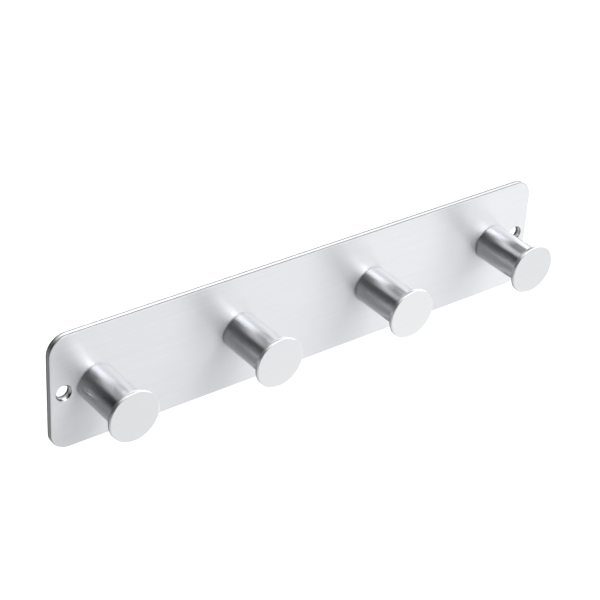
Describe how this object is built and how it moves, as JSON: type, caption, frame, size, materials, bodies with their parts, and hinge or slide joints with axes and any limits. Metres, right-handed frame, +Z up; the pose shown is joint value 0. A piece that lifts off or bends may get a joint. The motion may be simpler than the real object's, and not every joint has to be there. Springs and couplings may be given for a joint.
{
  "type": "wall hook rack",
  "caption": "Flat rounded-corner wall rail with a row of round pegs, each a bar with a thin disc head, and countersunk screw holes at its ends.",
  "frame": {"origin": "centre of the rail's back face, where it rests on the wall", "axes": "+X along the rail, +Y into the wall, +Z up; the pegs point along -Y"},
  "size_m": [0.235, 0.029, 0.05],
  "materials": {
    "plate_steel": "brushed along its length",
    "post_steel": "turned and fine brushed",
    "disc_steel": "satin, fine brushed",
    "screw_steel": "plain stainless"
  },
  "bodies": {
    "root": {"back_plate": "plate_steel", "peg_post_1": "post_steel", "peg_post_2": "post_steel", "peg_post_3": "post_steel", "peg_post_4": "post_steel", "peg_disc_1": "disc_steel", "peg_disc_2": "disc_steel", "peg_disc_3": "disc_steel", "peg_disc_4": "disc_steel", "peg_screw_1": "screw_steel", "peg_screw_2": "screw_steel", "peg_screw_3": "screw_steel", "peg_screw_4": "screw_steel"}
  },
  "joints": []
}
